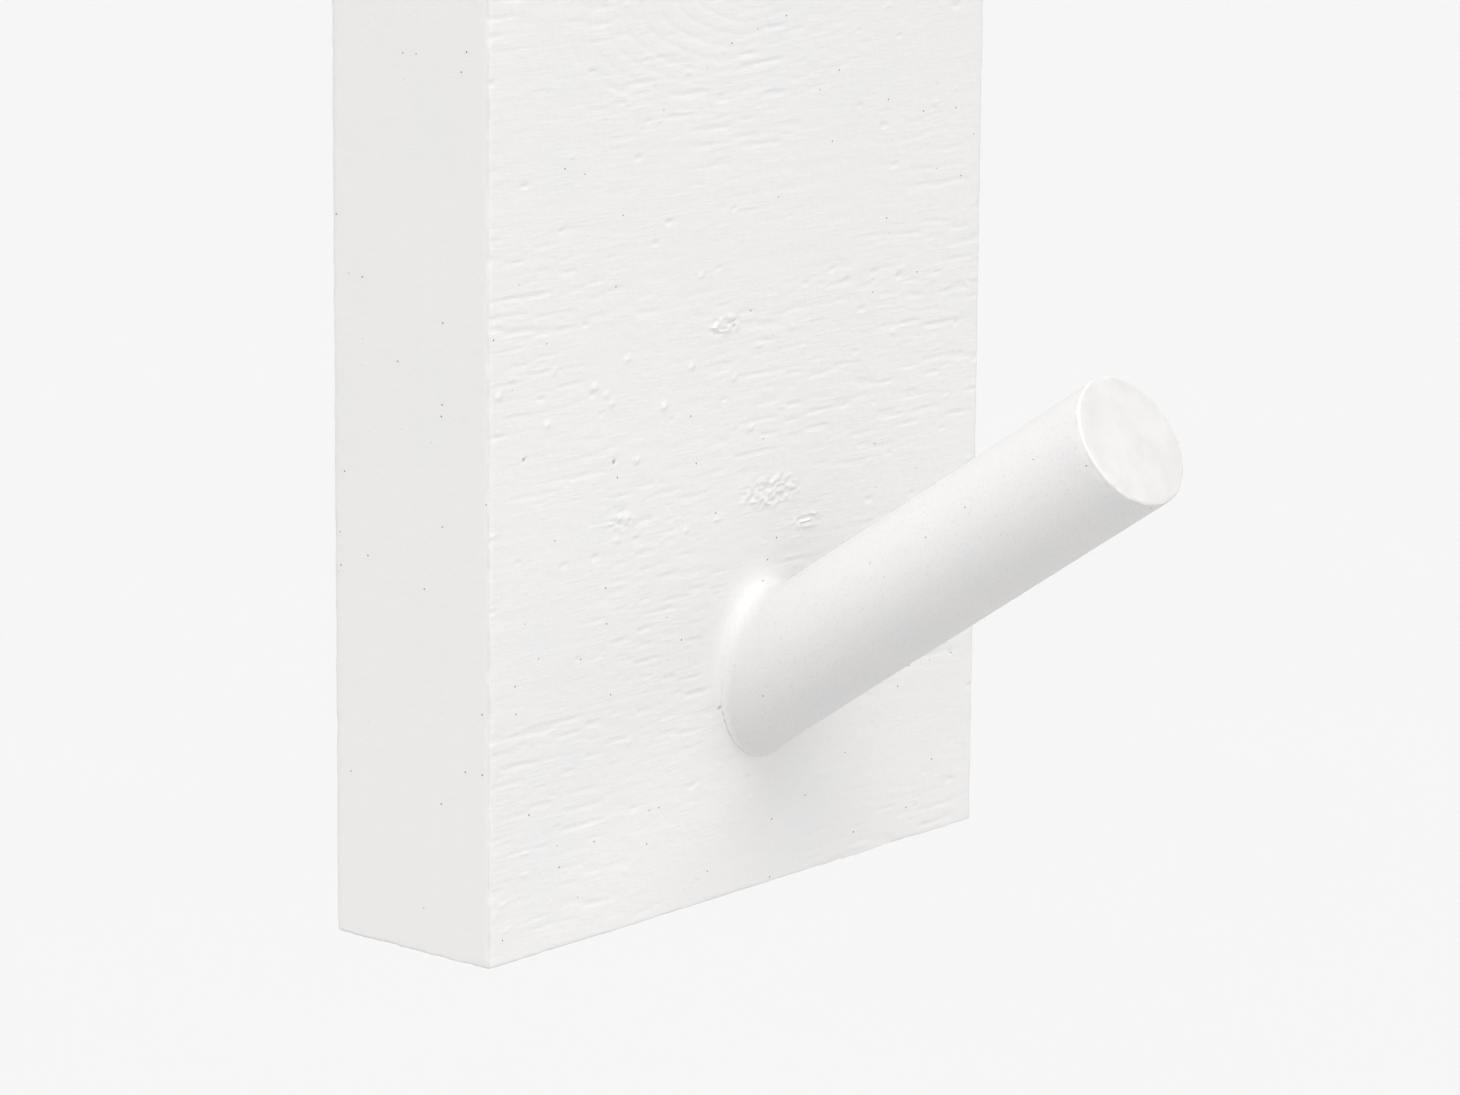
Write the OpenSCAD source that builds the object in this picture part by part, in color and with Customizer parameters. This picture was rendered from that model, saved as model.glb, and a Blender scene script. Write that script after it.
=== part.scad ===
// Upright wall coat rack: a thick painted rough-sawn board with a column of round pegs that slope upward.
//
// The front faces -Y and the wall is the plane Y = 0. X = 0 is the board's centre line, and the origin is
// the middle of the board's back face. Pegs are numbered from the bottom up.

/* [Board] */
// Width of the board
board_w = 110; // [90:1:140]
// Thickness of the board
board_t = 30; // [29:1:36]
// Height of the board
board_h = 920; // [900:10:1100]
// Bevel along the board's worn edges
board_bevel = 1.2; // [0.5:0.1:2]

/* [Pegs] */
// Number of pegs
peg_count = 5; // [3:1:5]
// Diameter of a peg
peg_d = 20; // [16:1:22]
// Length of a peg along its axis, from the board's front face to its free end
peg_out = 80; // [60:1:100]
// Slope of the pegs above level, in degrees
peg_tilt = 34; // [25:1:38]
// Distance from one peg to the next
peg_pitch = 200; // [180:5:210]
// Height of the lowest peg above the board's bottom end, on the front face
peg_low = 32; // [30:1:60]
// Sideways distance of the peg column from the board's centre line
peg_side = 5; // [-10:1:10]
// Rounding of a peg's free rim
peg_rim = 0.8; // [0.4:0.1:2]
// Depth of the blind bore that a peg is glued in, along its axis
bore_depth = 22; // [18:0.5:22]
// Gap that the glue fills around a peg
glue_gap = 0.05; // [0.02:0.01:0.1]

/* [Peg screws] */
// Shank diameter of the screw behind each peg
peg_screw_d = 4; // [3.5:0.5:5]
// Length of the screw behind each peg
peg_screw_len = 35; // [30:1:45]
// Depth of the screw's head under the back face, along the peg's axis
peg_screw_sink = 3.2; // [3.2:0.1:4]

/* [Keyhole hangers] */
// Width of a hanger plate
plate_w = 18; // [17:1:24]
// Length of a hanger plate
plate_len = 54; // [52:1:60]
// Thickness of a hanger plate, and of the recess that it lies in
plate_t = 2; // [1.5:0.1:2]
// Diameter of the hole that the wall screw's head enters
entry_d = 10; // [8:0.5:11]
// Width of the slot that the wall screw's neck slides in
slot_w = 4.8; // [4:0.1:5.5]
// Rise of the slot, from the entry hole's centre to the neck's resting place
slot_rise = 10; // [8:0.5:11]
// Depth of the pocket behind the keyhole, from the back face
pocket_depth = 11; // [8:0.5:12]
// Shank diameter of a hanger screw
hanger_screw_d = 3.5; // [3:0.5:4]
// Length of a hanger screw
hanger_screw_len = 16; // [12:1:20]

/* [Hidden] */
$fn = 64;
PAINT = "whitesmoke";
ZINC = "silver";
STEEL = "darkgray";
CUT = 1;                             // how far a cutting tool runs past the face it cuts
THREAD_GAP = 0.05;                   // radial gap between a screw and its hole
HEAD_RATIO = 2;                      // screw head diameter over shank diameter
HEAD_LIP = 0.25;                     // straight lip around a countersunk head
HEAD_GAP = 0.1;                      // gap around a countersunk head in its seat
PLATE_GAP = 0.15;                    // gap around a hanger plate in its recess
plate_mid = slot_rise / 2;           // the plate's centre above its entry hole
plate_hole = plate_len / 2 - 7;      // distance of a hanger screw from the plate's centre
pocket_r = entry_d / 2 + 2;
counterbore_r = HEAD_RATIO * peg_screw_d / 2 + 0.5;
back_along_axis = board_t / cos(peg_tilt);
head_place = peg_screw_sink - back_along_axis;
hanger_rise = (peg_count - 2) / 2 * peg_pitch;
HANGERS = ["top", "bottom"];
SCREW_ENDS = ["upper", "lower"];
pegs = [1:peg_count];

function peg_z(i) = peg_low - board_h / 2 + (i - 1) * peg_pitch;
function hanger_z(place) = place == "top" ? hanger_rise : -hanger_rise;
function screw_y(end) = plate_mid + (end == "upper" ? plate_hole : -plate_hole);
function peg_name(i) = str("peg_", i);
function peg_screw_name(i) = str("peg_screw_", i);
function plate_name(place) = str("hanger_plate_", place);
function hanger_screw_name(place, end) = str("hanger_screw_", place, "_", end);

// Puts its children on a peg's axis: local Z = 0 is on the board's front face, and +Z leaves the board.
module on_peg_axis(i) {
    translate([peg_side, -board_t, peg_z(i)]) rotate([90 - peg_tilt, 0, 0]) children();
}

// Puts its children on the back face at an entry hole: local Y is up, and local +Z goes into the board.
module on_back(place) {
    translate([0, 0, hanger_z(place)]) rotate([90, 0, 0]) children();
}

module bevelled_rectangle(w, h, bevel) {
    x = w / 2;
    y = h / 2;
    polygon([
        [x, y - bevel], [x - bevel, y], [bevel - x, y], [-x, y - bevel],
        [-x, bevel - y], [bevel - x, -y], [x - bevel, -y], [x, bevel - y]
    ]);
}

module bevelled_block(w, t, h, bevel) {
    intersection() {
        linear_extrude(h, center = true) bevelled_rectangle(w, t, bevel);
        rotate([90, 0, 0]) linear_extrude(t, center = true) bevelled_rectangle(w, h, bevel);
        rotate([90, 0, 90]) linear_extrude(w, center = true) bevelled_rectangle(t, h, bevel);
    }
}

// A slot with round ends, its end circles centred at heights low and high.
module round_slot(r, low, high) {
    translate([0, low]) circle(r);
    translate([0, high]) circle(r);
    translate([-r, low]) square([2 * r, high - low]);
}

module keyhole() {
    circle(d = entry_d);
    round_slot(slot_w / 2, 0, slot_rise);
}

module plate_outline(gap) {
    r = plate_w / 2;
    round_slot(r + gap, plate_mid - plate_len / 2 + r, plate_mid + plate_len / 2 - r);
}

// A countersunk screw with its flat head at Z = 0, a cross recess and its point at Z = len.
module screw(d, len) {
    head_r = HEAD_RATIO * d / 2;
    difference() {
        rotate_extrude() polygon([
            [0, 0], [head_r, 0], [head_r, HEAD_LIP], [d / 2, HEAD_LIP + head_r - d / 2],
            [d / 2, len - d], [0, len]
        ]);
        for (turn = [0, 90]) rotate(turn)
            cube([head_r * 1.1, head_r * 0.3, head_r * 0.9], center = true);
    }
}

// The hole for such a screw: a seat for its head, and a bore for its shank.
module screw_hole(d, len) {
    head_r = HEAD_RATIO * d / 2 + HEAD_GAP;
    shank_r = d / 2 + THREAD_GAP;
    translate([0, 0, -CUT]) cylinder(h = CUT + HEAD_LIP, r = head_r);
    translate([0, 0, HEAD_LIP]) cylinder(h = head_r - shank_r, r1 = head_r, r2 = shank_r);
    cylinder(h = len + THREAD_GAP, r = shank_r);
}

module board() {
    color(PAINT) difference() {
        translate([0, -board_t / 2, 0]) bevelled_block(board_w, board_t, board_h, board_bevel);
        for (i = pegs) on_peg_axis(i) {
            translate([0, 0, -bore_depth]) cylinder(h = bore_depth + peg_d, r = peg_d / 2 + glue_gap);
            translate([0, 0, head_place]) screw_hole(peg_screw_d, peg_screw_len);
            translate([0, 0, head_place - peg_screw_sink - peg_d / 2])
                cylinder(h = peg_screw_sink + peg_d / 2, r = counterbore_r);
        }
        for (place = HANGERS) on_back(place) {
            translate([0, 0, -CUT]) linear_extrude(CUT + plate_t) plate_outline(PLATE_GAP);
            linear_extrude(pocket_depth) round_slot(pocket_r, 0, slot_rise);
            for (end = SCREW_ENDS) translate([0, screw_y(end), 0])
                screw_hole(hanger_screw_d, hanger_screw_len);
        }
    }
}

module peg(i) {
    r = peg_d / 2;
    glue_floor = 0.5;
    inner = bore_depth - glue_floor;
    color(PAINT) on_peg_axis(i) difference() {
        translate([0, 0, -inner]) rotate_extrude() {
            square([r, inner + peg_out - peg_rim]);
            square([r - peg_rim, inner + peg_out]);
            translate([r - peg_rim, inner + peg_out - peg_rim]) circle(peg_rim);
        }
        translate([0, 0, head_place]) screw_hole(peg_screw_d, peg_screw_len);
    }
}

module peg_screw(i) {
    color(STEEL) on_peg_axis(i) translate([0, 0, head_place]) screw(peg_screw_d, peg_screw_len);
}

module hanger_plate(place) {
    color(ZINC) on_back(place) difference() {
        linear_extrude(plate_t) plate_outline(0);
        translate([0, 0, -CUT]) linear_extrude(plate_t + 2 * CUT) keyhole();
        for (end = SCREW_ENDS) translate([0, screw_y(end), 0])
            screw_hole(hanger_screw_d, hanger_screw_len);
    }
}

module hanger_screw(place, end) {
    color(STEEL) on_back(place) translate([0, screw_y(end), 0]) screw(hanger_screw_d, hanger_screw_len);
}

board();
for (i = pegs) {
    peg(i);
    peg_screw(i);
}
for (place = HANGERS) {
    hanger_plate(place);
    for (end = SCREW_ENDS)
        hanger_screw(place, end);
}
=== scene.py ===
"""Looks of the upright wall coat rack: rough-sawn painted board, painted pegs and steel hangers.

All lengths are in metres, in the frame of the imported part: the front faces -Y, the wall is Y = 0 and
the pegs are numbered from the bottom up.
"""
import math

import bpy
import numpy as np
from mathutils import Matrix, Quaternion, Vector


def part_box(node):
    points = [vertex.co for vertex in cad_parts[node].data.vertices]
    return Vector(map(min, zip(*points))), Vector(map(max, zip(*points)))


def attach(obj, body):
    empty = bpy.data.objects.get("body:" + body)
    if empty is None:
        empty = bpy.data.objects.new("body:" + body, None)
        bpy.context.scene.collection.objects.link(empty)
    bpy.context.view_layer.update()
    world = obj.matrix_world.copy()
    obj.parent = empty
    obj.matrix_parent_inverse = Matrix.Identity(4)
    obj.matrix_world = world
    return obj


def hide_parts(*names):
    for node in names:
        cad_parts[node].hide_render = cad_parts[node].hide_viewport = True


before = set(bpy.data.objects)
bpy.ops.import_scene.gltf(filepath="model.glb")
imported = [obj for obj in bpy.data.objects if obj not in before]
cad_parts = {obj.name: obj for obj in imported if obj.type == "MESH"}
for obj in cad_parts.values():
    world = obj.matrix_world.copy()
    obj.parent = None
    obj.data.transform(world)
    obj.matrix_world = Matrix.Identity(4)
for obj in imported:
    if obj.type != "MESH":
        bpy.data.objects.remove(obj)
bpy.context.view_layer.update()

MM = 0.001
BODY = "root"
PEGS = ["peg_1", "peg_2", "peg_3", "peg_4", "peg_5"]
PEG_SCREWS = ["peg_screw_1", "peg_screw_2", "peg_screw_3", "peg_screw_4", "peg_screw_5"]
PLATES = ["hanger_plate_top", "hanger_plate_bottom"]
HANGER_SCREWS = [
    f"hanger_screw_{place}_{end}" for place in ("top", "bottom") for end in ("upper", "lower")
]

BOARD_LOW, BOARD_HIGH = (np.array(corner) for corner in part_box("board"))
BOARD_WIDTH, BOARD_THICKNESS, _ = BOARD_HIGH - BOARD_LOW
FRONT_Y = BOARD_LOW[1]

# The pegs, as in the CAD design.
PEG_RADIUS = 10 * MM
PEG_SLOPE = math.radians(34)
PEG_OUT = 80 * MM                    # length along the axis from the board's front face
PEG_SET = 21.5 * MM                  # length in the bore
CAD_RIM = 0.8 * MM                   # rounding of the CAD solid's free rim
PEG_AXIS = np.array([0, -math.cos(PEG_SLOPE), math.sin(PEG_SLOPE)])
PEG_UP = np.array([0, math.sin(PEG_SLOPE), math.cos(PEG_SLOPE)])
PEG_SIDE = np.array([1.0, 0, 0])


def peg_foot(name):
    """The point where a peg's axis crosses the board's front face."""
    low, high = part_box(name)
    top = (PEG_OUT - CAD_RIM) * math.sin(PEG_SLOPE) + (PEG_RADIUS - CAD_RIM) * math.cos(PEG_SLOPE) + CAD_RIM
    return np.array([(low.x + high.x) / 2, FRONT_Y, high.z - top])


# ---------------------------------------------------------------- noise and small maths


def hashed(ix, iy, iz, seed):
    """A repeatable number from -1 to 1 for each lattice point. The large numbers only scramble its bits."""
    h = (ix * 374761393 + iy * 668265263 + iz * 2147483647 + seed * 974634777) & 0xFFFFFFFF
    h = ((h ^ (h >> 13)) * 1274126177) & 0xFFFFFFFF
    return (h ^ (h >> 16)) / 2147483648.0 - 1.0


def noise(p, size, seed):
    """Smooth noise from -1 to 1 at points p. size is the grain's size, one number or one for each axis."""
    q = p / np.asarray(size, float)
    cell = np.floor(q).astype(np.int64)
    t = q - cell
    t = t * t * t * (t * (t * 6 - 15) + 10)
    total = np.zeros(len(p))
    for corner in range(8):
        bits = np.array([(corner >> axis) & 1 for axis in range(3)])
        weight = np.prod(np.where(bits, t, 1 - t), axis=1)
        total += weight * hashed(*(cell + bits).T, seed)
    return total


def layered(p, size, seed, octaves=3):
    """Noise with finer and weaker noise added to it."""
    size = np.asarray(size, float)
    total = sum(noise(p, size / 2**k, seed + k) / 2**k for k in range(octaves))
    return total / sum(0.5**k for k in range(octaves))


def ramp(low, high, value):
    """0 below low, 1 above high and smooth between them."""
    t = np.clip((value - low) / (high - low), 0, 1)
    return t * t * (3 - 2 * t)


def stations(low, high, fine, coarse, keep, blend):
    """Places from low to high: fine steps over the first stretch, then steps that grow to coarse ones."""
    places = [low]
    while places[-1] < high:
        grown = float(ramp(keep, keep + blend, places[-1] - low))
        places.append(places[-1] + fine + (coarse - fine) * grown)
    places = np.array(places)
    return low + (places - low) * (high - low) / (places[-1] - low)


# ---------------------------------------------------------------- meshes


def mesh_object(name, verts, face_sets, smooth=True, attributes=None):
    """A mesh object from an array of points and arrays of faces, each with one row of indices per face."""
    mesh = bpy.data.meshes.new(name)
    mesh.vertices.add(len(verts))
    mesh.vertices.foreach_set("co", np.asarray(verts, np.float32).ravel())
    loops = np.concatenate([faces.ravel() for faces in face_sets]).astype(np.int32)
    sizes = np.concatenate([np.full(len(faces), faces.shape[1]) for faces in face_sets])
    mesh.loops.add(len(loops))
    mesh.loops.foreach_set("vertex_index", loops)
    mesh.polygons.add(len(sizes))
    starts = np.concatenate([[0], np.cumsum(sizes)[:-1]]).astype(np.int32)
    mesh.polygons.foreach_set("loop_start", starts)
    mesh.polygons.foreach_set("use_smooth", np.full(len(sizes), smooth))
    for key, values in (attributes or {}).items():
        layer = mesh.attributes.new(key, "FLOAT", "POINT")
        layer.data.foreach_set("value", np.asarray(values, np.float32))
    mesh.update(calc_edges=True)
    mesh.validate()
    obj = bpy.data.objects.new(name, mesh)
    bpy.context.scene.collection.objects.link(obj)
    return obj


def apply_modifiers(obj):
    """Makes the object's modified shape its own mesh."""
    shape = bpy.data.meshes.new_from_object(obj.evaluated_get(bpy.context.evaluated_depsgraph_get()))
    obj.modifiers.clear()
    obj.data = shape


def sharpen(obj, degrees):
    """Shades an object smooth, apart from the edges that bend more than this."""
    with bpy.context.temp_override(object=obj, selected_objects=[obj], selected_editable_objects=[obj],
                                   active_object=obj):
        bpy.ops.object.shade_smooth_by_angle(angle=math.radians(degrees))


def strip(rows, columns, first=0, closed=False):
    """Quads over a grid of points stored row by row. closed joins the last column to the first."""
    index = first + np.arange(rows * columns).reshape(rows, columns)
    after = np.roll(index, -1, axis=1) if closed else index[:, 1:]
    here = index if closed else index[:, :-1]
    quads = np.stack([here[:-1], after[:-1], after[1:], here[1:]], axis=-1)
    return quads.reshape(-1, 4)


# ---------------------------------------------------------------- paint round the foot of a peg

# The paint blends the board into the peg over a short way: furthest at the foot's upper left.
SKIRT_LOW, SKIRT_HIGH = 0.8 * MM, 5.6 * MM
SKIRT_SIDE = 0.93 * PEG_UP - 0.36 * PEG_SIDE
SKIRT_SPREAD = 2.8                   # higher keeps the wide part nearer to the upper left
SINK = 0.06                          # how far each surface dips under the other, as a share of the reach
MARCH_STEPS, MARCH_SHARE = 40, 0.8   # steps out of the paint, and the share of the gap that each covers


def paint_gap(p, foot):
    """Distance of points p from the blended paint surface, less than 0 inside it, the blend's reach there
    and the distance beside the peg."""
    from_foot = p - foot
    along = from_foot @ PEG_AXIS
    across = from_foot - along[:, None] * PEG_AXIS
    radial = np.maximum(np.linalg.norm(across, axis=1), 0.01 * MM)
    side = np.clip((1 + across @ SKIRT_SIDE / radial) / 2, 0, 1)
    reach = SKIRT_LOW + (SKIRT_HIGH - SKIRT_LOW) * side**SKIRT_SPREAD
    above, beside = FRONT_Y - p[:, 1], radial - PEG_RADIUS
    blend = np.maximum(reach - np.abs(above - beside), 0) / reach
    return np.minimum(above, beside) - blend**2 * reach / 4, reach, beside


def foot_shade_share(p, foot):
    """How much painted shade goes at points p: most in the wide part of the paint's blend round a peg's foot.
    """
    _, reach, beside = paint_gap(p, foot)
    depth = np.maximum(np.abs(FRONT_Y - p[:, 1]), beside)
    return ramp(1.1 * reach, 0.25 * reach, depth) * ramp(0.3, 0.8, reach / SKIRT_HIGH)


def march(p, direction, foot, limit):
    """How far points have to move in a direction to come out of the paint, up to their limits."""
    moved = np.zeros(len(p))
    for _ in range(MARCH_STEPS):
        gap, _, _ = paint_gap(p + direction * moved[:, None], foot)
        moved = np.minimum(moved + MARCH_SHARE * np.maximum(-gap, 0), limit)
    return moved


def skirt_height(x, z, foot):
    """Height of the blended paint above the board's front face, and how far it smooths the sawn wood."""
    near = np.hypot(x - foot[0], z - foot[2]) < 2 * PEG_RADIUS
    p = np.column_stack([x, np.full_like(x, FRONT_Y), z])[near]
    height, smoothed = np.zeros(len(x)), np.zeros(len(x))
    if len(p):
        _, reach, beside = paint_gap(p, foot)
        under_peg = ramp(0.24 * reach, 0.1 * reach, beside)
        rise = march(p, np.array([[0, -1.0, 0]]), foot, 0.3 * reach)
        height[near] = rise - SINK * reach * under_peg
        smoothed[near] = ramp(1.3 * reach, 0.5 * reach, beside)
    return height, smoothed


# ---------------------------------------------------------------- the board

# Steps between the board's points. The lower end has finer ones.
STEP_X = 0.42 * MM
STEP_Y = 0.6 * MM
STEP_Z_FINE, STEP_Z_COARSE = 0.26 * MM, 1.1 * MM
FINE_HEIGHT, BLEND_HEIGHT = 150 * MM, 120 * MM
BACK_EVERY = 4                       # the back has one column for this many of the front's

EDGE_ROUND = 0.4 * MM                # rounding of the worn edges, and how much it varies
EDGE_ROUND_VARIES = 0.14 * MM

# Places on the front face, as (x, z). A crinkled patch also has its half width and half height.
KNOTS = [(9 * MM, -322 * MM), (24 * MM, -118 * MM), (-22 * MM, 66 * MM), (18 * MM, 271 * MM)]
CRINKLES = [
    (5.8 * MM, -400.3 * MM, 7.5 * MM, 2.7 * MM),
    (14.5 * MM, -406 * MM, 3.5 * MM, 1.4 * MM),
    (-4.5 * MM, -374 * MM, 4 * MM, 1.6 * MM),
    (-27 * MM, -399.5 * MM, 3.5 * MM, 1.1 * MM),
    (12 * MM, -160 * MM, 7 * MM, 3 * MM),
    (-20 * MM, 190 * MM, 9 * MM, 3 * MM),
]
BLOBS = [
    (-43 * MM, -383 * MM), (-29.5 * MM, -382 * MM), (-30.5 * MM, -380.5 * MM), (-26 * MM, -376 * MM),
    (-5 * MM, -374 * MM), (-3.6 * MM, -373 * MM), (-12 * MM, -379 * MM), (-28 * MM, -402 * MM),
    (-33 * MM, -379 * MM), (-18 * MM, -384 * MM), (-2.5 * MM, -382 * MM), (1.5 * MM, -390 * MM),
    (-24 * MM, -391 * MM), (-10 * MM, -366 * MM), (-13 * MM, -403 * MM), (-53 * MM, -377.5 * MM),
]
PITS = [(-5.6 * MM, -430.8 * MM), (-47.7 * MM, -387.3 * MM), (-28.7 * MM, -390.5 * MM)]
SPECKS = 900                         # small bumps and pits scattered over the front
SPECK_SEED = 7

# Heights and depths of the front's relief.
WARP = 0.05 * MM                     # of the whole front, and once more of the whole board
LONG_MARK, SHORT_MARK = 0.10 * MM, 0.05 * MM
SAW_RIB = 0.016 * MM
GRAIN = 0.014 * MM
RING, RING_SPACING = 0.07 * MM, 1.7 * MM
KNOT_SWELL = 0.22 * MM
CRACK, CRACK_HALF_WIDTH = 0.35 * MM, 0.35 * MM
WORM = 0.26 * MM                     # the wriggles of a crinkled patch
BLOB, BLOB_RADIUS = 0.24 * MM, 0.48 * MM
# The last radius is that of the painted shade at the bottom of each pit.
PIT, PIT_RADIUS, PIT_SHADE_RADIUS = 0.3 * MM, 0.3 * MM, 0.2 * MM

# Heights of the relief on the board's other faces and along its edges.
SKIN_GRAIN = 0.012 * MM
PLANED = 0.018 * MM
END_GRAIN = 0.09 * MM
CHIPS = 0.1 * MM
BACK_MARKS = 0.6                     # the back's saw marks against the front's


def board_stations():
    """Places of the board's points along X, Y and Z."""
    columns = BACK_EVERY * round(BOARD_WIDTH / STEP_X / BACK_EVERY)
    xs = np.linspace(BOARD_LOW[0], BOARD_HIGH[0], columns + 1)
    ys = np.linspace(BOARD_LOW[1], BOARD_HIGH[1], round(BOARD_THICKNESS / STEP_Y) + 1)
    zs = stations(BOARD_LOW[2], BOARD_HIGH[2], STEP_Z_FINE, STEP_Z_COARSE, FINE_HEIGHT, BLEND_HEIGHT)
    return xs, ys, zs


def box_skin(xs, ys, zs):
    """The closed skin of a box: points and faces. The back has fewer columns than the front, and the ends
    take up the difference with one many-sided face per back column."""
    back_xs = xs[::-1][::BACK_EVERY]
    inner_ys = ys[1:-1]
    ring = np.concatenate([
        np.stack([xs, np.full(len(xs), ys[0])], 1),
        np.stack([np.full(len(inner_ys), xs[-1]), inner_ys], 1),
        np.stack([back_xs, np.full(len(back_xs), ys[-1])], 1),
        np.stack([np.full(len(inner_ys), xs[0]), inner_ys[::-1]], 1),
    ])
    around, rows = len(ring), len(zs)
    verts = [np.column_stack([np.tile(ring, (rows, 1)), np.repeat(zs, around)])]
    faces = [strip(rows, around, closed=True)]
    many_sided = []
    nx, ny = len(xs), len(inner_ys)
    back_first = nx + ny
    for row, z in ((0, zs[0]), (rows - 1, zs[-1])):
        first = sum(len(v) for v in verts)
        grid_x, grid_y = np.meshgrid(xs[1:-1], inner_ys)
        verts.append(np.column_stack([grid_x.ravel(), grid_y.ravel(), np.full(grid_x.size, z)]))
        inner = first + np.arange(grid_x.size).reshape(ny, nx - 2)
        front = row * around + np.arange(nx)
        right = row * around + nx + np.arange(ny)
        left = row * around + around - 1 - np.arange(ny)
        index = np.vstack([front, np.column_stack([left, inner, right])])
        quads = np.stack([index[:-1, :-1], index[1:, :-1], index[1:, 1:], index[:-1, 1:]], -1)
        back = row * around + back_first + np.arange(len(back_xs))[::-1]
        wide = np.array([
            [*index[-1, c * BACK_EVERY:(c + 1) * BACK_EVERY + 1][::-1], back[c], back[c + 1]]
            for c in range(len(back_xs) - 1)
        ])
        flip = row == 0
        faces.append((quads if flip else quads[..., ::-1]).reshape(-1, 4))
        many_sided.append(wide if flip else wide[:, ::-1])
    return np.concatenate(verts), faces + many_sided, around


def round_off(p, low, high, radius):
    """Moves the points of a box's skin onto a box with rounded edges, and gives their outward directions."""
    inner = np.clip(p, low + radius[:, None], high - radius[:, None])
    out = p - inner
    out /= np.linalg.norm(out, axis=1)[:, None]
    return inner + out * radius[:, None], out


def saw_marks(p):
    """Marks that the saw left across the board: short grooves along X in scattered patches."""
    bent = p.copy()
    bent[:, 2] += 0.6 * MM * noise(p, (24 * MM, 1, 14 * MM), 11) + 0.02 * p[:, 0]
    patches = ramp(-0.5, 0.5, layered(p, (22 * MM, 1, 13 * MM), 12, 2))
    long_marks = ramp(0.34, 0.85, noise(bent, (5.5 * MM, 1, 0.8 * MM), 13))
    short_marks = ramp(0.4, 0.9, noise(bent, (2.1 * MM, 1, 0.55 * MM), 14))
    ribs = noise(bent, (7 * MM, 1, 1.3 * MM), 15)
    return patches * (-LONG_MARK * long_marks - SHORT_MARK * short_marks) + SAW_RIB * ribs


def knot_relief(x, z):
    """Fine curved ridges round each knot, and the shallow crack that crosses it."""
    height = np.zeros_like(x)
    for n, (kx, kz) in enumerate(KNOTS):
        dx, dz = (x - kx) / 2.3, z - kz - 0.06 * (x - kx)
        from_knot = np.hypot(dx, dz)
        angle = np.arctan2(dz, dx)
        bent = from_knot + 0.7 * MM * np.sin(3 * angle + n) + 0.3 * MM * np.sin(7 * angle)
        rings = np.abs(np.cos(math.pi * bent / RING_SPACING)) ** 10
        fade = ramp(26 * MM, 14 * MM, from_knot) * (0.6 + 0.4 * np.sin(2 * angle + 0.8 + n))
        height -= RING * rings * fade
        height += KNOT_SWELL * ramp(8 * MM, 0, from_knot)
        crack = np.exp(-((dz - 0.9 * MM * np.sin(dx / (2.5 * MM))) / CRACK_HALF_WIDTH) ** 2)
        height -= CRACK * crack * ramp(7 * MM, 3 * MM, from_knot)
    return height


def add_spot(height, xs, zs, x, z, radius, rise, stretch=1.0):
    """Adds one round bump or hollow to a grid of heights."""
    reach = 3 * radius * max(1, stretch)
    i0, i1 = np.searchsorted(zs, (z - reach, z + reach))
    j0, j1 = np.searchsorted(xs, (x - reach, x + reach))
    dx, dz = np.meshgrid((xs[j0:j1] - x) / stretch, zs[i0:i1] - z)
    height[i0:i1, j0:j1] += rise * np.exp(-((dx**2 + dz**2) / radius**2) ** 1.4)


def front_relief(xs, zs):
    """Heights of the sawn wood above the flat front face on a grid of its points, and the painted shade in
    its deep pits.
    """
    grid_x, grid_z = np.meshgrid(xs, zs)
    x_flat, z_flat = grid_x.ravel(), grid_z.ravel()
    p = np.column_stack([x_flat, np.zeros_like(x_flat), z_flat])
    height = WARP * layered(p, (45 * MM, 1, 60 * MM), 21)
    height += saw_marks(p)
    height += GRAIN * noise(p, 0.9 * MM, 22)
    height += knot_relief(x_flat, z_flat)
    for n, (cx, cz, rx, rz) in enumerate(CRINKLES):
        inside = ramp(1.15, 0.55, np.hypot((x_flat - cx) / rx, (z_flat - cz) / rz))
        worms = 1 - np.abs(noise(p, (0.95 * MM, 1, 0.65 * MM), 31 + n)) * 2.4
        height += WORM * inside * np.clip(worms, -0.4, 1)
    height = height.reshape(grid_x.shape)
    rng = np.random.default_rng(SPECK_SEED)
    for x, z in BLOBS:
        add_spot(height, xs, zs, x, z, BLOB_RADIUS, BLOB)
    # Painted shade: a dark spot in each deep pit, on a grid of its own.
    pit_shade_grid = np.zeros_like(height)
    for x, z in PITS:
        add_spot(height, xs, zs, x, z, PIT_RADIUS, -PIT)
        add_spot(pit_shade_grid, xs, zs, x, z, PIT_SHADE_RADIUS, 1.0)
    for _ in range(SPECKS):
        x, z = rng.uniform(xs[0], xs[-1]), rng.uniform(zs[0], zs[-1])
        size = rng.uniform(0.22, 0.42) * MM
        rise = size * (0.4 if rng.random() < 0.45 else -0.45)
        add_spot(height, xs, zs, x, z, size, rise, stretch=rng.uniform(1, 2.5))
    return height.ravel(), pit_shade_grid.ravel()


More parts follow.
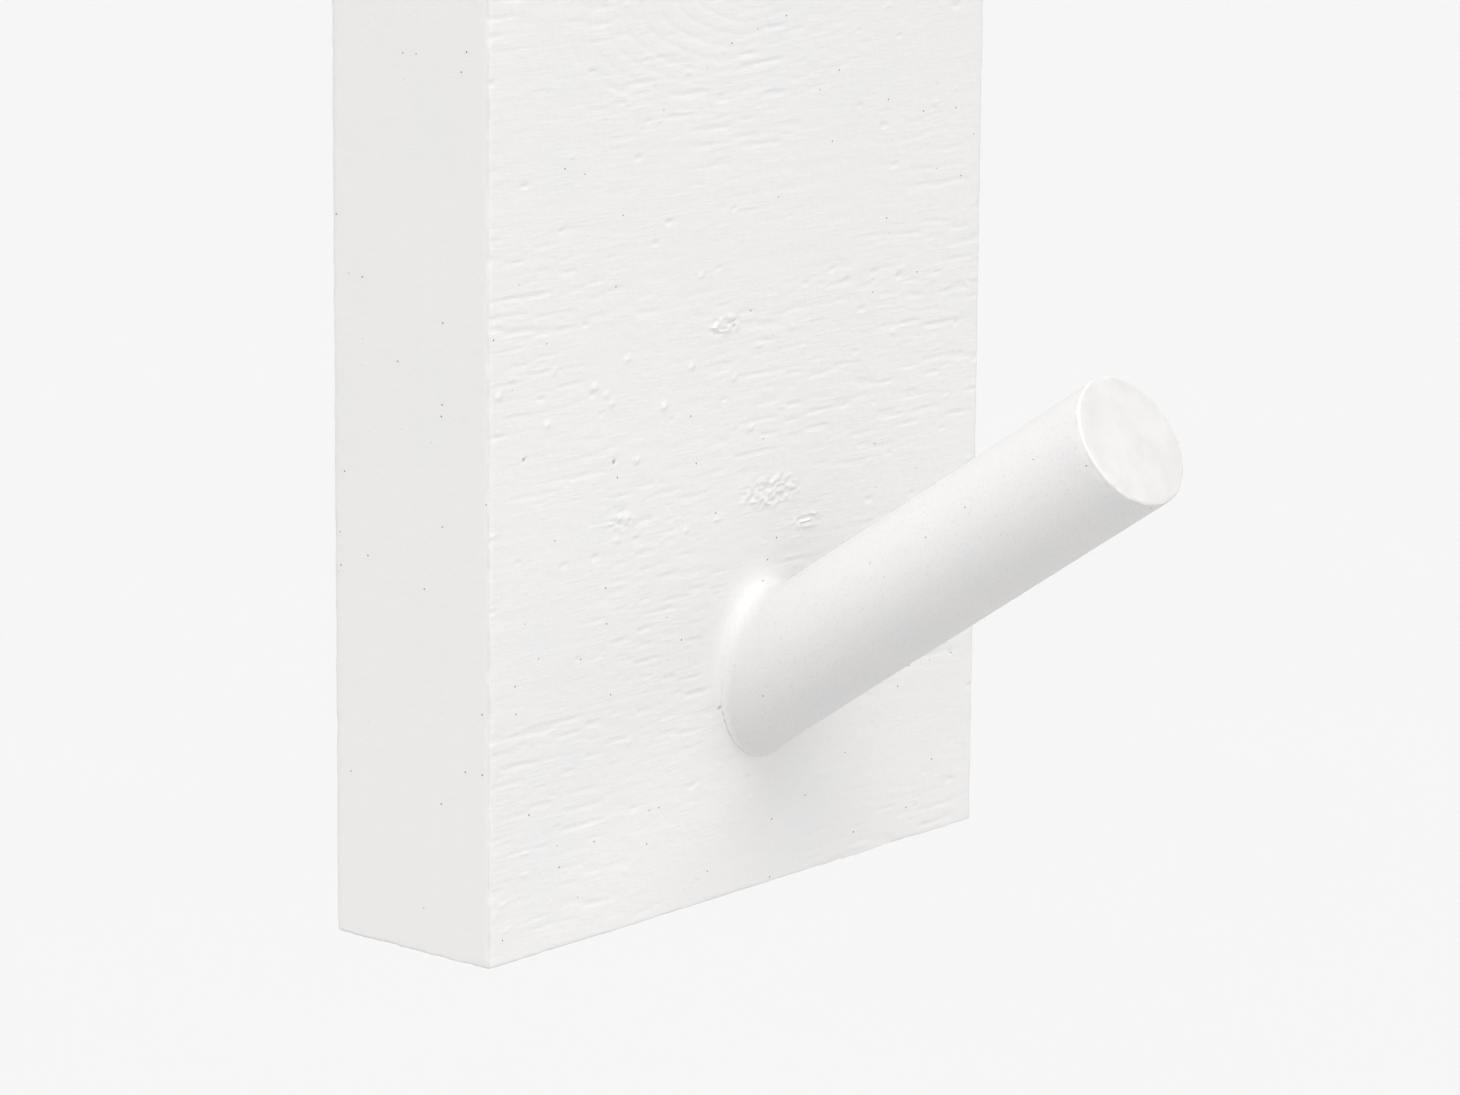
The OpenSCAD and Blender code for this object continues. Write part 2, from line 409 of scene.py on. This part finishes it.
def board_skin():
    """The board's detailed skin, before its holes are cut."""
    xs, ys, zs = board_stations()
    verts, faces, around = box_skin(xs, ys, zs)
    radius = EDGE_ROUND + EDGE_ROUND_VARIES * layered(verts, 5 * MM, 41, 2)
    flat, out = round_off(verts, BOARD_LOW, BOARD_HIGH, radius)
    rows, nx = len(zs), len(xs)
    near_edge = ramp(0.95, 0.72, np.abs(out).max(axis=1))
    height = WARP * layered(flat, (30 * MM, 30 * MM, 60 * MM), 51)
    height += SKIN_GRAIN * noise(flat, 1.1 * MM, 52)
    side = np.abs(out[:, 0]) > 0.7
    planed = noise(flat, (1, 1.3 * MM, 90 * MM), 53)
    height += np.where(side, PLANED * planed, 0)
    ends = np.abs(out[:, 2]) > 0.7
    height += np.where(ends, END_GRAIN * noise(flat, (9 * MM, 0.9 * MM, 1), 54), 0)
    back = out[:, 1] > 0.7
    height += np.where(back, saw_marks(flat + 0.3) * BACK_MARKS, 0)
    front_rows = (np.arange(rows)[:, None] * around + np.arange(nx)).ravel()
    facing = np.clip(-out[front_rows, 1], 0, 1) ** 2
    relief, pit_shade_grid = front_relief(xs, zs)
    height[front_rows] += facing * relief
    # The painted shade in the deep pits, on the front's points.
    pit_shade = np.zeros(len(verts))
    pit_shade[front_rows] = pit_shade_grid
    chips = layered(flat, (1.6 * MM, 1.6 * MM, 2.2 * MM), 55, 2)
    height += near_edge * CHIPS * np.minimum(chips, 0.3)
    for name in PEGS:
        skirt, smoothed = skirt_height(*flat[front_rows][:, [0, 2]].T, peg_foot(name))
        height[front_rows] = height[front_rows] * (1 - smoothed) + skirt
    verts = flat + out * height[:, None]
    # Where the board gets painted shade on the blend round the pegs' feet.
    thick = sum(foot_shade_share(verts, peg_foot(name)) for name in PEGS)
    return mesh_object("board_painted", verts, faces, attributes={
        "edge": near_edge, "relief": height / MM, "pit_shade": pit_shade, "sawn": np.abs(out[:, 1]) ** 2,
        "thick": thick,
    })


# ---------------------------------------------------------------- cutters for the board's holes

CUTTER_SEGMENTS = 64
CUT_PAST = 1 * MM                    # how far a cutter runs past the back face


def lathe(profile):
    """A closed solid of revolution about Z from (radius, height) points that start and end on the axis."""
    segments = CUTTER_SEGMENTS
    turn = np.linspace(0, 2 * math.pi, segments, endpoint=False)
    rings = [
        np.column_stack([r * np.cos(turn), r * np.sin(turn), np.full(segments, h)])
        for r, h in profile[1:-1]
    ]
    verts = np.vstack(rings + [[[0, 0, profile[0][1]]], [[0, 0, profile[-1][1]]]])
    count = len(rings)
    quads = strip(count, segments, closed=True)
    ring = np.arange(segments)
    after = np.roll(ring, -1)
    bottom = np.column_stack([after, ring, np.full(segments, count * segments)])
    last = (count - 1) * segments
    top = np.column_stack([last + ring, last + after, np.full(segments, count * segments + 1)])
    return verts, [quads, bottom, top]


def slot_prism(radius, low, high, depth):
    """A closed prism with round ends centred at Y = low and high, from just past Z = 0 to Z = depth."""
    half = np.linspace(0, math.pi, CUTTER_SEGMENTS // 2 + 1)
    upper = np.column_stack([radius * np.cos(half), high + radius * np.sin(half)])
    lower = np.column_stack([-radius * np.cos(half), low - radius * np.sin(half)])
    outline = np.vstack([upper, lower])
    n = len(outline)
    verts = np.vstack([np.column_stack([outline, np.full(n, h)]) for h in (-CUT_PAST, depth)])
    ring = np.arange(n)
    return verts, [strip(2, n, closed=True), ring[::-1][None], (n + ring)[None]]


def placed(shape, matrix):
    """A shape, which is points and faces, moved by a matrix."""
    verts, faces = shape
    m = np.array(matrix)
    return verts @ m[:3, :3].T + m[:3, 3], faces


def joined(shapes):
    """Several shapes as one set of points and faces."""
    all_verts, all_faces, first = [], [], 0
    for verts, faces in shapes:
        all_verts.append(verts)
        all_faces += [f + first for f in faces]
        first += len(verts)
    return np.vstack(all_verts), all_faces


def peg_frame(name):
    """The matrix that puts local Z along a peg's axis, from its foot outward."""
    m = Matrix.Identity(4)
    for column, axis in enumerate((PEG_SIDE, PEG_UP, PEG_AXIS)):
        for row in range(3):
            m[row][column] = axis[row]
    m.translation = Vector(peg_foot(name))
    return m


def back_frame(z):
    """The matrix for shapes cut into the back face: local Y is up and local Z goes into the board."""
    return Matrix.Translation((0, 0, z)) @ Matrix.Rotation(math.radians(90), 4, "X")


# Holes, as in the CAD design, apart from the bores: those are a little narrow, so that the paint covers
# the gap round each peg.
BORE_DEPTH = 22 * MM
BORE_NARROWER = 0.4 * MM
BORE_REACH = 14 * MM                 # along the peg's axis, out past the front face
SEAT_PLACE = 3.2 * MM - BOARD_THICKNESS / math.cos(PEG_SLOPE)
COUNTERBORE_RADIUS = 4.5 * MM
COUNTERBORE_REACH = 16 * MM          # along the peg's axis, from the screw's seat out past the back face
HEAD_RADIUS, SHANK_RADIUS = 4.1 * MM, 2.05 * MM
RECESS_GAP, RECESS_FLOOR_GAP = 0.15 * MM, 0.05 * MM
POCKET_RADIUS, POCKET_DEPTH, SLOT_RISE = 7 * MM, 11 * MM, 10 * MM


def plate_entry(name):
    """The height of a hanger plate's entry hole: its plate reaches further above it than below it."""
    low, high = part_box(name)
    return (low.z + high.z) / 2 - SLOT_RISE / 2


def cut_holes(board):
    """Cuts the peg bores, screw counterbores, plate recesses and keyhole pockets."""
    bore_radius = PEG_RADIUS - BORE_NARROWER
    bore = lathe([
        (0, -BORE_DEPTH), (bore_radius, -BORE_DEPTH),
        (bore_radius, BORE_REACH), (0, BORE_REACH),
    ])
    outside = SEAT_PLACE - COUNTERBORE_REACH
    deep = SEAT_PLACE + HEAD_RADIUS - SHANK_RADIUS
    seat = lathe([
        (0, outside), (COUNTERBORE_RADIUS, outside),
        (COUNTERBORE_RADIUS, SEAT_PLACE), (HEAD_RADIUS, SEAT_PLACE),
        (SHANK_RADIUS, deep), (0, deep),
    ])
    first, second = [], []
    for name in PEGS:
        first += [placed(bore, peg_frame(name)), placed(seat, peg_frame(name))]
    for name in PLATES:
        low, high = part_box(name)
        half_width = (high.x - low.x) / 2
        middle = back_frame((low.z + high.z) / 2)
        reach = (high.z - low.z) / 2 - half_width
        recess = slot_prism(half_width + RECESS_GAP, -reach, reach, high.y - low.y + RECESS_FLOOR_GAP)
        first.append(placed(recess, middle))
        pocket = slot_prism(POCKET_RADIUS, 0, SLOT_RISE, POCKET_DEPTH)
        second.append(placed(pocket, back_frame(plate_entry(name))))
    for shapes in (first, second):
        cutter = mesh_object("cutter", *joined(shapes), smooth=False)
        cut = board.modifiers.new("cut", "BOOLEAN")
        cut.operation, cut.solver, cut.object = "DIFFERENCE", "MANIFOLD", cutter
        apply_modifiers(board)
        bpy.data.objects.remove(cutter)


# ---------------------------------------------------------------- the pegs

PEG_TURN_STEP, PEG_LENGTH_STEP = 0.45 * MM, 0.45 * MM
CLOSE_PEG = "peg_1"                  # the peg that the camera is near, with finer steps
CLOSE_SHARE = 0.63                   # its steps against the others'
FOOT_GRAIN = 0.15 * MM               # its steps near its foot
FOOT_START, FOOT_STOP = -8 * MM, 14 * MM
RIM_ROUND, RIM_STEPS = 0.4 * MM, 8
END_INNER = 0.4 * MM                 # radius of the end's innermost ring
PEG_WAVE, PEG_RIPPLE, PEG_GRAIN = 0.05 * MM, 0.012 * MM, 0.006 * MM
RIM_CHIPS, END_WAVE = 0.16 * MM, 0.09 * MM
NOISE_APART = 0.37                   # shifts each peg's noise, so that no two are alike


def spread_foot(verts, out, foot):
    """Moves the peg's points near the board outward onto the blended paint surface."""
    above = FRONT_Y - verts[:len(out), 1]
    near = (above > 0) & (above < SKIRT_HIGH)
    p, direction = verts[:len(out)][near], out[near]
    _, reach, _ = paint_gap(p, foot)
    sinking = np.maximum(direction[:, 1], 0.01)
    limit = np.clip((above[near] - 0.05 * reach) / sinking, 0, 0.5 * reach)
    moved = march(p, direction, foot, limit)
    under_board = ramp(0.24 * reach, 0.1 * reach, above[near] - direction[:, 1] * moved)
    moved = np.maximum(moved - SINK * reach * under_board, 0)
    verts[:len(out)][near] += direction * moved[:, None]


def peg_skin(name, seed):
    """A painted dowel: slightly wavy, with a softened rim and an end that isn't quite flat."""
    step = CLOSE_SHARE if name == CLOSE_PEG else 1.0
    segments = round(2 * math.pi * PEG_RADIUS / (PEG_TURN_STEP * step))
    along = np.concatenate([
        np.arange(-PEG_SET, FOOT_START, 2 * PEG_LENGTH_STEP),
        np.arange(FOOT_START, FOOT_STOP, FOOT_GRAIN if name == CLOSE_PEG else PEG_LENGTH_STEP),
        np.arange(FOOT_STOP, PEG_OUT - RIM_ROUND, PEG_LENGTH_STEP * step),
    ])
    bend = np.linspace(0, math.pi / 2, RIM_STEPS + 1)[1:]
    rim_r = PEG_RADIUS - RIM_ROUND + RIM_ROUND * np.cos(bend)
    rim_h = PEG_OUT - RIM_ROUND + RIM_ROUND * np.sin(bend)
    end_rings = round(PEG_RADIUS / (PEG_LENGTH_STEP * step))
    end_r = np.linspace(PEG_RADIUS - RIM_ROUND, END_INNER, end_rings)[1:]
    radii = np.concatenate([np.full(len(along), PEG_RADIUS), rim_r, end_r])
    heights = np.concatenate([along, rim_h, np.full(len(end_r), PEG_OUT)])
    bent = np.concatenate([np.zeros(len(along)), bend, np.full(len(end_r), math.pi / 2)])
    turn = np.linspace(0, 2 * math.pi, segments, endpoint=False)
    r, t = np.meshgrid(radii, turn, indexing="ij")
    h = np.broadcast_to(heights[:, None], r.shape)
    b = np.broadcast_to(bent[:, None], r.shape)
    local = np.stack([r * np.cos(t), r * np.sin(t), h], axis=-1).reshape(-1, 3)
    out = np.stack([np.cos(b) * np.cos(t), np.cos(b) * np.sin(t), np.sin(b)], axis=-1).reshape(-1, 3)
    shifted = local + seed * NOISE_APART
    height = PEG_WAVE * layered(shifted, (14 * MM, 14 * MM, 22 * MM), 61, 2)
    height += PEG_RIPPLE * noise(shifted, 1.6 * MM, 62)
    height += PEG_GRAIN * noise(shifted, 0.7 * MM, 63)
    rim = np.exp(-((np.hypot(local[:, 0], local[:, 1]) - PEG_RADIUS) / (0.8 * MM)) ** 2)
    rim *= ramp(PEG_OUT - 1.6 * MM, PEG_OUT - RIM_ROUND, local[:, 2])
    height += rim * RIM_CHIPS * (layered(shifted, 1.7 * MM, 64, 2) - 0.2)
    ends = ramp(0.8, 1, out[:, 2])
    height += ends * END_WAVE * layered(shifted, 6 * MM, 65, 3)
    verts = local + out * height[:, None]
    count = len(radii)
    verts = np.vstack([verts, [[0, 0, -PEG_SET]], [[0, 0, PEG_OUT + height[-1]]]])
    ring, after = np.arange(segments), np.roll(np.arange(segments), -1)
    last = (count - 1) * segments
    faces = [
        strip(count, segments, closed=True),
        np.column_stack([after, ring, np.full(segments, count * segments)]),
        np.column_stack([last + ring, last + after, np.full(segments, count * segments + 1)]),
    ]
    m = np.array(peg_frame(name))
    verts = verts @ m[:3, :3].T + m[:3, 3]
    spread_foot(verts, out @ m[:3, :3].T, peg_foot(name))
    # Where the peg gets painted shade on the blend round its foot.
    thick = foot_shade_share(verts, peg_foot(name))
    attributes = {"edge": np.append(rim, [0, 0]), "end": np.append(ends, [0, 1]), "thick": thick}
    return mesh_object(name + "_painted", verts, faces, attributes=attributes)


# ---------------------------------------------------------------- materials


class Graph:
    """A material's node tree, with a short call for each kind of node."""

    def __init__(self, name):
        self.material = bpy.data.materials.new(name)
        self.material.use_nodes = True
        self.tree = self.material.node_tree
        self.tree.nodes.clear()
        self.output = self.node("ShaderNodeOutputMaterial")
        self.shader = self.node("ShaderNodeBsdfPrincipled")
        self.link(self.shader.outputs[0], self.output.inputs[0])
        self.coordinates = self.node("ShaderNodeTexCoord").outputs["Object"]

    def node(self, kind, **settings):
        made = self.tree.nodes.new(kind)
        for key, value in settings.items():
            setattr(made, key, value)
        return made

    def link(self, source, target):
        self.tree.links.new(source, target)

    def put(self, value, target):
        """Sets a socket to a number or colour, or links it to another node's output."""
        if isinstance(value, bpy.types.NodeSocket):
            self.link(value, target)
        else:
            target.default_value = value

    def place(self, size):
        """Coordinates counted in grains of this size, given in metres along each axis."""
        mapping = self.node("ShaderNodeMapping")
        self.link(self.coordinates, mapping.inputs["Vector"])
        mapping.inputs["Scale"].default_value = [1 / s for s in size]
        return mapping.outputs[0]

    def noise(self, size, detail=3, roughness=0.5):
        """Noise from 0 to 1 whose grain has this size in metres, one number or one for each axis."""
        size = size if isinstance(size, tuple) else (size,) * 3
        made = self.node("ShaderNodeTexNoise")
        self.link(self.place(size), made.inputs["Vector"])
        made.inputs["Scale"].default_value = 1
        made.inputs["Detail"].default_value = detail
        made.inputs["Roughness"].default_value = roughness
        return made.outputs["Fac"]

    def spots(self, size, radius, share):
        """1 inside round spots, one in some cells of this size: share is the part of cells that have one."""
        made = self.node("ShaderNodeTexVoronoi")
        self.link(self.place((size,) * 3), made.inputs["Vector"])
        made.inputs["Scale"].default_value = 1
        near = self.range(made.outputs["Distance"], radius / size, 0.6 * radius / size)
        split = self.node("ShaderNodeSeparateColor")
        self.link(made.outputs["Color"], split.inputs[0])
        chosen = self.maths("LESS_THAN", split.outputs[0], share)
        return self.maths("MULTIPLY", near, chosen)

    def attribute(self, name):
        """A value that the mesh carries at each of its points."""
        return self.node("ShaderNodeAttribute", attribute_name=name).outputs["Fac"]

    def range(self, value, low, high, to_low=0.0, to_high=1.0):
        """The stretch from low to high spread over the one from to_low to to_high, and held past its ends."""
        made = self.node("ShaderNodeMapRange")
        for socket, number in zip(made.inputs, (value, low, high, to_low, to_high)):
            self.put(number, socket)
        return made.outputs[0]

    def maths(self, operation, a, b):
        made = self.node("ShaderNodeMath", operation=operation)
        self.put(a, made.inputs[0])
        self.put(b, made.inputs[1])
        return made.outputs[0]

    def mix(self, factor, a, b):
        """Two colours mixed by a factor."""
        made = self.node("ShaderNodeMix", data_type="RGBA")
        sockets = [s for s in made.inputs if s.type == "RGBA"]
        self.put(factor, made.inputs[0])
        self.put(a, sockets[0])
        self.put(b, sockets[1])
        return next(s for s in made.outputs if s.type == "RGBA")

    def bump(self, height, distance, onto=None):
        """A bump whose height from 0 to 1 is this distance in metres, added to an earlier one."""
        made = self.node("ShaderNodeBump")
        made.inputs["Strength"].default_value = 1
        made.inputs["Distance"].default_value = distance
        self.link(height, made.inputs["Height"])
        if onto:
            self.link(onto, made.inputs["Normal"])
        return made.outputs[0]

    def finish(self, colour, roughness, normal=None, ior=1.5, metallic=0.0):
        """Fills the shader's sockets and returns the material."""
        self.put(colour, self.shader.inputs["Base Color"])
        self.put(roughness, self.shader.inputs["Roughness"])
        if normal:
            self.link(normal, self.shader.inputs["Normal"])
        self.shader.inputs["IOR"].default_value = ior
        self.shader.inputs["Metallic"].default_value = metallic
        return self.material


PAINT = (0.668, 0.657, 0.651, 1)
PAINT_COOL = (0.658, 0.652, 0.650, 1)
PAINT_GREY = (0.53, 0.516, 0.507, 1)
# Colour of the dark specks, and of the painted shade in the board's deep pits.
DARK_SPECK_AND_PIT_SHADE = (0.09, 0.075, 0.065, 1)
EDGE_TINT = (0.60, 0.58, 0.54, 1)
FOOT_SHADE_STRENGTH = 0.22                   # painted shade on the blend round each peg's foot: how far it goes towards grey
PAINT_IOR = 1.45
PLATE_TONE, SCREW_TONE = (0.66, 0.67, 0.68), (0.60, 0.61, 0.62)
METAL_STAIN = (0.42, 0.39, 0.33, 1)
METAL_DULL = 0.78                    # the dull parts' brightness against the light ones'


def board_paint():
    """Matte warm-white paint over rough-sawn wood, with painted shade in its grooves, its deep pits and round
    the pegs' feet.
    """
    g = Graph("board_paint")
    mottle = g.range(g.noise(28 * MM, detail=4), 0.35, 0.65)
    colour = g.mix(mottle, PAINT, PAINT_COOL)
    smudges = g.range(g.noise((16 * MM, 16 * MM, 9 * MM), detail=2), 0.62, 0.8, 0, 0.12)
    colour = g.mix(smudges, colour, PAINT_GREY)
    # Painted shade: the paint goes greyer where the sawn relief dips into grooves.
    grooves = g.range(g.attribute("relief"), -0.1, -0.3, 0, 0.35)
    colour = g.mix(grooves, colour, PAINT_GREY)
    worn = g.maths("MULTIPLY", g.attribute("edge"), g.range(g.noise(3 * MM), 0.4, 0.6, 0.3, 0.9))
    colour = g.mix(worn, colour, EDGE_TINT)
    # Painted shade on the bright blend of paint round each peg's foot.
    colour = g.mix(g.maths("MULTIPLY", g.attribute("thick"), FOOT_SHADE_STRENGTH), colour, PAINT_GREY)
    # Dark specks scattered over the paint, and painted shade in the deep pits.
    specks_and_pit_shade = g.maths("MAXIMUM", g.spots(3.2 * MM, 0.16 * MM, 0.9), g.attribute("pit_shade"))
    colour = g.mix(specks_and_pit_shade, colour, DARK_SPECK_AND_PIT_SHADE)
    strokes = g.noise((4 * MM, 4 * MM, 0.35 * MM), detail=3, roughness=0.6)
    stipple = g.noise(0.45 * MM, detail=2)
    normal = g.bump(g.maths("MULTIPLY", strokes, g.attribute("sawn")), 0.06 * MM)
    normal = g.bump(stipple, 0.035 * MM, normal)
    rough = g.range(g.noise(6 * MM), 0.3, 0.7, 0.58, 0.72)
    return g.finish(colour, rough, normal, ior=PAINT_IOR)


def peg_paint():
    """The same paint over a smooth dowel, with a fine speckle."""
    g = Graph("peg_paint")
    mottle = g.range(g.noise(12 * MM, detail=3), 0.35, 0.65)
    colour = g.mix(mottle, PAINT, PAINT_COOL)
    grain = g.maths("MULTIPLY", g.attribute("end"), g.range(g.noise(5 * MM), 0.3, 0.7, 0.6, 0.95))
    colour = g.mix(grain, colour, PAINT_GREY)
    # Painted shade on the bright blend of paint round the peg's foot.
    colour = g.mix(g.maths("MULTIPLY", g.attribute("thick"), FOOT_SHADE_STRENGTH), colour, PAINT_GREY)
    speckle = g.range(g.noise(0.42 * MM, detail=1), 0.58, 0.74, 0, 0.4)
    colour = g.mix(speckle, colour, PAINT_GREY)
    worn = g.maths("MULTIPLY", g.attribute("edge"), g.range(g.noise(2 * MM), 0.45, 0.6, 0, 0.5))
    colour = g.mix(worn, colour, EDGE_TINT)
    dust = g.maths("MULTIPLY", g.spots(1.3 * MM, 0.1 * MM, 0.3), 0.5)
    colour = g.mix(dust, colour, PAINT_GREY)
    # Dark specks scattered over the paint.
    specks_and_pit_shade = g.spots(3.4 * MM, 0.14 * MM, 0.8)
    colour = g.mix(specks_and_pit_shade, colour, DARK_SPECK_AND_PIT_SHADE)
    stipple = g.noise(0.4 * MM, detail=2)
    waves = g.noise(2.4 * MM, detail=2)
    normal = g.bump(waves, 0.02 * MM)
    normal = g.bump(stipple, 0.03 * MM, normal)
    rough = g.range(g.noise(5 * MM), 0.3, 0.7, 0.55, 0.7)
    return g.finish(colour, rough, normal, ior=PAINT_IOR)


def zinc(name, tone, grain):
    """Zinc-plated steel: a crystalline bloom, fine scratches and duller patches."""
    g = Graph(name)
    bloom = g.range(g.noise(1.8 * MM, detail=3), 0.35, 0.7)
    light = (*tone, 1)
    dull = (*(METAL_DULL * c for c in tone), 1)
    colour = g.mix(bloom, light, dull)
    stains = g.range(g.noise(6 * MM, detail=2), 0.55, 0.75, 0, 0.4)
    colour = g.mix(stains, colour, METAL_STAIN)
    scratches = g.noise(grain, detail=2)
    normal = g.bump(scratches, 0.012 * MM)
    rough = g.range(g.noise(2.5 * MM), 0.3, 0.7, 0.28, 0.46)
    return g.finish(colour, rough, normal, metallic=1.0)


# ---------------------------------------------------------------- camera, light and floor

CAMERA_LENS, CAMERA_SENSOR = 147.95, 36     # in millimetres
CAMERA_AZIMUTH = math.radians(-49.7)
CAMERA_ELEVATION = math.radians(12.6)
CAMERA_ROLL = math.radians(0.45)
CAMERA_DISTANCE = 850 * MM
CAMERA_CLIP = (0.01, 200)
CAMERA_AIM = Vector((-23.3 * MM, -47.1 * MM, -401.3 * MM))
FLOOR_DROP = 830 * MM                # the rack hangs this far above the floor
FLOOR_HALF = 60.0                    # half of the floor's width
SOFTNESS = math.radians(42)          # the angle that each lamp fills
LAMPS = {                            # direction of each lamp, and its strength
    "key": ((-0.52, -0.06, 0.85), 1.03),
    "high_left": ((-0.40, -0.30, 0.87), 0.53),
    "high_front": ((0, -0.50, 0.85), 1.35),
}
# Brightness of the surroundings at five heights of a sphere of radius 1: all round, and what is added
# towards the front and the left.
SKY_HEIGHTS = (0, 0.20, 0.40, 0.65, 1)
SKY_ALL_ROUND = (0.20, 0.35, 1.38, 0, 0)
SKY_FRONT = (0.04, 0.63, 1.93, 0, 0)
SKY_LEFT = (0, 0, 0, 2.03, 1.40)
SKY_PEAK = 2.1                       # at least the highest of these
FLOOR_PALE, FLOOR_PALER = (0.64, 0.64, 0.64, 1), (0.643, 0.643, 0.642, 1)


def add_camera():
    """The scene's camera, turned about its line of sight by a small roll."""
    data = bpy.data.cameras.new("camera")
    data.lens, data.sensor_width = CAMERA_LENS, CAMERA_SENSOR
    data.clip_start, data.clip_end = CAMERA_CLIP
    camera = bpy.data.objects.new("camera", data)
    bpy.context.scene.collection.objects.link(camera)
    level = math.cos(CAMERA_ELEVATION)
    back = Vector((math.sin(CAMERA_AZIMUTH) * level, -math.cos(CAMERA_AZIMUTH) * level,
                   math.sin(CAMERA_ELEVATION)))
    camera.location = CAMERA_AIM + back * CAMERA_DISTANCE
    camera.rotation_mode = "QUATERNION"
    camera.rotation_quaternion = (-back).to_track_quat("-Z", "Y") @ Quaternion((0, 0, 1), CAMERA_ROLL)
    bpy.context.scene.camera = camera


def add_soft_sun(name, direction, strength):
    """Light from far away, as soft as a large lamp's. The direction points towards the light."""
    data = bpy.data.lights.new(name, "SUN")
    data.energy, data.angle = strength, SOFTNESS
    light = bpy.data.objects.new(name, data)
    bpy.context.scene.collection.objects.link(light)
    light.rotation_mode = "QUATERNION"
    light.rotation_quaternion = (-Vector(direction)).to_track_quat("-Z", "Y")


def add_world():
    """Soft light from all round, brightest at a middle height, with more of it from the front and left."""
    world = bpy.data.worlds.new("studio")
    bpy.context.scene.world = world
    world.use_nodes = True
    tree = world.node_tree
    background = tree.nodes["Background"]
    split = tree.nodes.new("ShaderNodeSeparateXYZ")
    tree.links.new(tree.nodes.new("ShaderNodeTexCoord").outputs["Generated"], split.inputs[0])

    def maths(operation, *values, clamp=False):
        node = tree.nodes.new("ShaderNodeMath")
        node.operation, node.use_clamp = operation, clamp
        for socket, value in zip(node.inputs, values):
            if isinstance(value, bpy.types.NodeSocket):
                tree.links.new(value, socket)
            else:
                socket.default_value = value
        return node.outputs[0]

    def by_height(levels):
        node = tree.nodes.new("ShaderNodeValToRGB")
        tree.links.new(split.outputs["Z"], node.inputs[0])
        stops = node.color_ramp.elements
        while len(stops) < len(levels):
            stops.new(0.5)
        for stop, height, level in zip(stops, SKY_HEIGHTS, levels):
            stop.position = height
            stop.color = (level / SKY_PEAK,) * 3 + (1,)
        return node.outputs[0]

    front = maths("MULTIPLY", by_height(SKY_FRONT), maths("MULTIPLY", split.outputs["Y"], -1, clamp=True))
    left = maths("MULTIPLY", by_height(SKY_LEFT), maths("MULTIPLY", split.outputs["X"], -1, clamp=True))
    total = maths("ADD", by_height(SKY_ALL_ROUND), maths("ADD", front, left))
    background.inputs["Color"].default_value = (1, 1, 1, 1)
    tree.links.new(maths("MULTIPLY", total, SKY_PEAK), background.inputs["Strength"])


def add_floor():
    """A wide pale floor far below the rack."""
    half, z = FLOOR_HALF, BOARD_LOW[2] - FLOOR_DROP
    verts = np.array([(-half, -half, z), (half, -half, z), (half, half, z), (-half, half, z)])
    floor = mesh_object("floor", verts, [np.array([[0, 1, 2, 3]])], smooth=False)
    g = Graph("floor_paint")
    tone = g.range(g.noise(400 * MM), 0.3, 0.7)
    colour = g.mix(tone, FLOOR_PALE, FLOOR_PALER)
    floor.data.materials.append(g.finish(colour, 0.9))


# ---------------------------------------------------------------- assembly


SHARP_ANGLE = 50                     # degrees: the board's edges that bend more than this stay sharp


def dress(obj, material):
    """Gives an object this material alone."""
    obj.data.materials.clear()
    obj.data.materials.append(material)


def main():
    """Sets up the camera, light and floor, then builds the painted pieces and dresses the metal ones."""
    add_camera()
    add_world()
    for name, (direction, strength) in LAMPS.items():
        add_soft_sun(name, direction, strength)
    add_floor()

    board = board_skin()
    cut_holes(board)
    sharpen(board, SHARP_ANGLE)
    dress(board, board_paint())
    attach(board, BODY)
    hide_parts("board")

    paint = peg_paint()
    for n, name in enumerate(PEGS):
        peg = peg_skin(name, n)
        dress(peg, paint)
        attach(peg, BODY)
        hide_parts(name)

    plate_metal = zinc("plate_zinc", PLATE_TONE, (0.4 * MM, 0.4 * MM, 9 * MM))
    screw_metal = zinc("screw_zinc", SCREW_TONE, (0.3 * MM, 0.3 * MM, 0.3 * MM))
    for name in PLATES:
        dress(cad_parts[name], plate_metal)
    for name in PEG_SCREWS + HANGER_SCREWS:
        dress(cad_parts[name], screw_metal)

    settings = bpy.context.scene.view_settings
    settings.view_transform = "Standard"
    settings.look = "None"


main()
